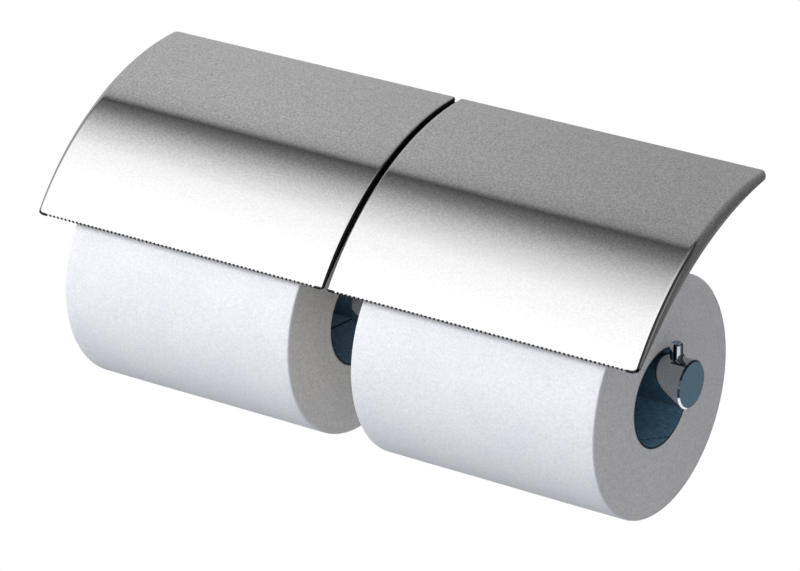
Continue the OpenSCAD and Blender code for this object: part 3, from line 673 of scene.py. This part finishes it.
def circleThrough(a, b, c):
    u, v = b - a, c - a
    twist = 2 * (u.x * v.y - u.y * v.x)
    centre = a + Vector((v.y * u.dot(u) - u.y * v.dot(v), u.x * v.dot(v) - v.x * u.dot(u))) / twist
    return centre, (a - centre).length


def lipCircle():  # trims the lips: it passes through their depths at the back, the middle and the front
    marks = []
    for share, depth in zip((0, 0.5, 1), cover["lipDepths"]):
        a, r = cover["back"] + share * math.radians(cover["sweep"]), cover["radius"] - depth
        marks.append(Vector((r * math.cos(a), r * math.sin(a))))
    return circleThrough(*marks)


cover["lipCentre"], cover["lipRadius"] = lipCircle()


def along(s):  # place and lean of the outer face at the distance s from the back edge
    bendStart = cover["length"] - cover["bendReach"]
    a = cover["back"] + min(s, bendStart) / cover["radius"]
    y = cover["centreY"] + cover["radius"] * math.cos(a)
    z = cover["centreZ"] + cover["radius"] * math.sin(a)
    past = s - bendStart
    if past <= 0:
        return y, z, a
    r, full = cover["bendRadius"], math.radians(cover["bendAngle"])
    b = a + min(past / r, full)
    y += r * (math.cos(b) - math.cos(a))
    z += r * (math.sin(b) - math.sin(a))
    rest = max(0.0, past - r * full)
    return y - rest * math.sin(b), z + rest * math.cos(b), b


def thickness(s):  # the sheet is coined thin along the teeth
    share = (cover["coinReach"] - (cover["length"] - s)) / (cover["coinReach"] - cover["bendReach"])
    share = min(1.0, max(0.0, share))
    return cover["thick"] - (cover["thick"] - cover["coinThick"]) * share * share * (3 - 2 * share)


def lipLength(s, side):  # from the flat's edge over the rolled side to the lip's lower edge
    a = cover["back"] + s / cover["radius"]
    way = Vector((math.cos(a), math.sin(a)))
    middle = cover["lipCentre"].dot(way)
    low = middle + math.sqrt(cover["lipRadius"] ** 2 - cover["lipCentre"].length_squared + middle ** 2)
    r = cover["roll"][side]
    under = low - (cover["radius"] - r)
    return r * math.pi / 2 - under if under < 0 else r * math.acos(min(1.0, under / r))


def shellPoint(s, side, across, depth):  # side -1 or 1: across runs down the rolled side, 0: across is x
    y, z, a = along(s)
    x, drop, nx, nr = across, 0.0, 0.0, 1.0
    if side:
        r = cover["roll"][side]
        turn = min(across / r, math.pi / 2)
        edge = cover["x0"] + r if side < 0 else cover["x1"] - r
        nx, nr = side * math.sin(turn), math.cos(turn)
        x = edge + side * r * math.sin(turn)
        drop = r - r * math.cos(turn) + max(0.0, across - r * math.pi / 2)
    inward = depth * thickness(s)
    away = drop + inward * nr
    return (x - inward * nx, y - away * math.cos(a), z - away * math.sin(a))


# dark is the colour of the painted shade beside the seam and of the painted dark reflections round the
# front corners and teeth
coverPlate = {"tint": (0.95, 0.945, 0.957), "shade": (0.38, 0.378, 0.383), "shadeShare": 0.25,
              "grain": 1250.0, "contrast": (0.62, 0.16), "fade": (0.055, 0.085), "rough": (0.03, 0.055),
              "dark": (0.035, 0.035, 0.035), "narrowing": (0.038, 0.113), "seamSoft": 0.0001,
              "seamShadeReach": {"left": (0.0015, 0.0013), "right": (0.0011, 0.0009)},
              "outlineReflectionWidth": 0.0014, "outlineSoft": 0.00015, "outlineStart": (0.0006, 0.0016),
              "dotReflectionReach": (0.0013, 0.0004), "dotEnds": (-0.1, 0.4)}


def paintedSeamShade(bench, x, s):  # painted shade: a dark band beside the seam where the gap between the covers lies in shade, narrower towards the front
    onRight = x > 0.0
    reach = bench.smooth(s, *coverPlate["narrowing"], *coverPlate["seamShadeReach"]["left"]) * (1 - onRight)
    reach = reach + bench.smooth(s, *coverPlate["narrowing"], *coverPlate["seamShadeReach"]["right"]) * onRight
    return bench.smooth(x.size() - reach, coverPlate["seamSoft"], -coverPlate["seamSoft"])


def paintedEdgeReflection(bench, across, s):  # painted dark reflection of the rim: a dark line round the front corners that breaks into dots at the teeth
    r = cover["corner"][1]
    aside, ahead = (across - (cover["x1"] - r)).most(0.0), (s - (cover["length"] - r)).most(0.0)
    inset = r - (aside * aside + ahead * ahead) ** 0.5
    turn = (across - cover["middle"]) * (2 * math.pi / cover["pitch"])
    ripple = bench.node("ShaderNodeMath", {"operation": "COSINE"}, {0: turn})  # -1 at the tips of the teeth
    ripple = bench.smooth(ripple, *coverPlate["dotEnds"], *coverPlate["dotReflectionReach"])
    toothed = across > cover["x0"] + cover["margin"] - cover["pitch"]
    toothed = toothed * (across < cover["x1"] - cover["margin"])
    inset = inset - ripple * toothed - coverPlate["outlineReflectionWidth"] * (1 - toothed)
    outlined = bench.smooth(inset, coverPlate["outlineSoft"], -coverPlate["outlineSoft"])
    return outlined * bench.smooth(ahead, *coverPlate["outlineStart"])


def coverFinish():
    material, bench = newFinish("coverPlate")
    place = bench.place()
    x, y, z = bench.split(place)
    turned = (z - cover["centreZ"]).turnFrom(y - cover["centreY"]) - cover["back"]
    s = turned * cover["radius"]  # distance from the back edge
    grain = bench.grain(place, coverPlate["grain"]) - 0.5
    grain = grain * bench.smooth(s, *coverPlate["fade"], *coverPlate["contrast"]) + coverPlate["shadeShare"]
    colour = bench.mixColours(grain, coverPlate["tint"], coverPlate["shade"])
    # painted shade beside the seam and painted dark reflections along the front edge
    dark = paintedSeamShade(bench, x, s).most(paintedEdgeReflection(bench, x.size(), s))
    closeFinish(bench, {
        "Base Color": bench.mixColours(dark, colour, coverPlate["dark"]), "Metallic": 1.0,
        "Roughness": smudged(bench, place, coverPlate["rough"]),
    })
    return material


coverMetal = coverFinish()


def sideColumns(side):  # from the lip's lower edge up to the flat
    quarter, steps = cover["roll"][side] * math.pi / 2, cover["rollSteps"]
    down = [cover["lipEnd"]] + [quarter + d for d in cover["lipColumns"]]  # cut off at the lip's edge
    down += [quarter * k / steps for k in range(steps, -1, -1)]
    return [(side, d, i, 0.0, True) for i, d in enumerate(down)]


def coverColumns():  # (side, distance down it or x, order from the lip's edge, tooth notch, on all rows)
    width = cover["x1"] - cover["x0"]
    count = math.floor((width - 2 * cover["margin"] + 1e-7) / cover["pitch"])
    start = cover["x0"] + (width - count * cover["pitch"]) / 2
    flat = [(0, cover["x0"] + d, 0, 0.0, True) for d in cover["seamColumns"]]
    for k in range(count):
        for share in cover["toothShares"]:
            notch = cover["depth"] * (cover["rootShare"] if share == 0 else min(share, 1 - share) * 2)
            flat.append((0, start + (k + share) * cover["pitch"], 0, notch, share == 0))
    flat.append((0, start + count * cover["pitch"], 0, 0.0, True))
    flat += [(0, cover["x1"] - d, 0, 0.0, True) for d in cover["outerColumns"]]
    return sideColumns(-1) + flat + sideColumns(1)[::-1]


def outline(column, s, front):  # how far the sheet's end lies from the end line there, and its outward way
    side, across, notch = column[0], column[1], column[3]
    nearest = side or (1 if across > cover["middle"] else -1)
    r = cover["corner"][nearest]
    if side:
        turn = min(math.pi / 2, min(across, lipLength(s, side)) / cover["roll"][side])
        reach = cover["roll"][side] * (1 - math.sin(turn))
    else:
        reach = min(across - cover["x0"], cover["x1"] - across)
    if reach >= r:
        return (notch if front else 0.0), (1.0, 0.0)
    c = (r - reach) / r
    return r - r * math.sqrt(1 - c * c), (math.sqrt(1 - c * c), c)


def gridPlace(column, base, share, front):  # base: row without the end's shape, share: 0 to 1 to the end
    side, across, order = column[:3]
    s, shift, rim = base, 0.0, cover["rim"]
    if share > 0:
        gap, way = outline(column, base, front)
        reach = cover["strip"] - gap - rim * way[0]
        s = cover["length"] - cover["strip"] + reach * share if front else cover["strip"] - reach * share
        shift = rim * way[1] * share
    if side:
        low = lipLength(s, side) - rim - cover["pack"] * order
        return s, side, min(across - shift * (order > 0), low)
    return s, 0, across - shift * (1 if across > cover["middle"] else -1)


def coverRows():  # (distance from the back edge, share towards an end, at the front end)
    strip, length = cover["strip"], cover["length"]
    count = round((length - 2 * strip) / cover["step"])
    rows = [(strip, share, False) for share in cover["backShares"]]
    rows += [(strip + (length - 2 * strip) * k / count, 0.0, False) for k in range(count + 1)]
    return rows + [(length - strip, share, True) for share in cover["frontShares"]]


def pressCover(name, mirrored, body, nodeName):
    columns, rows = coverColumns(), coverRows()
    first = next(i for i, row in enumerate(rows) if row[2])  # first row that has all the columns
    whole = [c for c, column in enumerate(columns) if column[4]]
    points, faces, index = [], [], {}

    def vertex(key, place):
        if key not in index:
            index[key] = len(points)
            points.append(((-place[0] if mirrored else place[0]), place[1], place[2]))
        return index[key]

    def at(r, c, level):
        base, share, front = rows[r]
        s, side, across = gridPlace(columns[c], base, share, front)
        return vertex((r, c, level), shellPoint(s, side, across, level))

    for level in (0, 1):
        for r in range(len(rows) - 1):
            used = whole if r < first else list(range(len(columns)))
            for a, b in zip(used, used[1:]):
                nextOnes = range(b, a - 1, -1) if r == first - 1 else (b, a)
                faces.append([at(r, a, level), at(r, b, level)] + [at(r + 1, c, level) for c in nextOnes])

    last, end = len(rows) - 1, len(columns) - 1
    loop = [(r, 0) for r in range(last)] + [(last, c) for c in range(end)]
    loop += [(r, end) for r in range(last, 0, -1)] + [(0, c) for c in reversed(whole) if c > 0]
    rim, inner = cover["rim"], cover["innerRim"]
    turns = [math.pi / 6, math.pi / 3, math.pi / 2]
    levels = [(rim * (1 - math.sin(t)), rim * (1 - math.cos(t))) for t in turns]
    levels += [(0.0, -inner), (0.3 * inner, -0.3 * inner), (inner, 0.0)]  # measured from the inner face

    def rimVertex(r, c, k):
        base, share, front = rows[r]
        s, side, across = gridPlace(columns[c], base, share, front)
        way = outline(columns[c], base, front)[1] if r in (0, last) else (0.0, 1.0)
        forward = way[0] * (1 if front else -1)
        outward = way[1] * (1 if side or across > cover["middle"] else -1)
        inset, drop = levels[k]
        move = rim - inset
        s, across = s + forward * move, across + outward * move
        depth = drop / thickness(s) + (0 if k < len(turns) else 1)
        return vertex((r, c, "rim", k), shellPoint(s, side, across, depth))

    for p, q in zip(loop, loop[1:] + loop[:1]):
        chain = [(at(*p, 0), at(*q, 0))]
        chain += [(rimVertex(*p, k), rimVertex(*q, k)) for k in range(len(levels))]
        chain.append((at(*p, 1), at(*q, 1)))
        for (a, b), (c, d) in zip(chain, chain[1:]):
            faces.append([a, b, d, c])
    mesh = bpy.data.meshes.new(name)
    mesh.from_pydata(points, [], faces)
    work = bmesh.new()
    work.from_mesh(mesh)
    bmesh.ops.recalc_face_normals(work, faces=work.faces)
    work.to_mesh(mesh)
    work.free()
    mesh.materials.append(coverMetal)
    for polygon in mesh.polygons:
        polygon.use_smooth = True
    made = bpy.data.objects.new(name, mesh)
    bpy.context.scene.collection.objects.link(made)
    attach(made, body)
    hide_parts(nodeName)


pressCover("left_pressed_cover", True, "left_cover_body", "left_cover")
pressCover("right_pressed_cover", False, "right_cover_body", "right_cover")
print("covers pressed")


# finishes for the nodes that stay as the frame has them
finishes = {
    "shaft": shaftMetal, "arm": shaftMetal, "left_end_cap": capMetal, "right_end_cap": capMetal,
    "left_stop_peg": pegMetal, "right_stop_peg": pegMetal,
    "hinge_bar": castBody, "left_inner_lug": castBody, "left_outer_lug": castBody,
    "right_inner_lug": castBody, "right_outer_lug": castBody,
    "wall_plate": zincSheetMetal, "left_lug_studs": zincSheetMetal, "right_lug_studs": zincSheetMetal,
    "left_lug_nuts": zincSheetMetal, "right_lug_nuts": zincSheetMetal,
    "lock_screws": screwMetal, "arm_screws": screwMetal, "shaft_screw": screwMetal, "rod_clips": screwMetal,
    "left_hinge_rod": rodMetal, "right_hinge_rod": rodMetal,
    "left_hinge_bushes": nylon, "right_hinge_bushes": nylon, "stop_pads": rubber,
    "left_core": leftCard, "right_core": rightCard,
}
for name, material in finishes.items():
    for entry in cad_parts[name].material_slots:
        entry.material = material
print("finishes set")
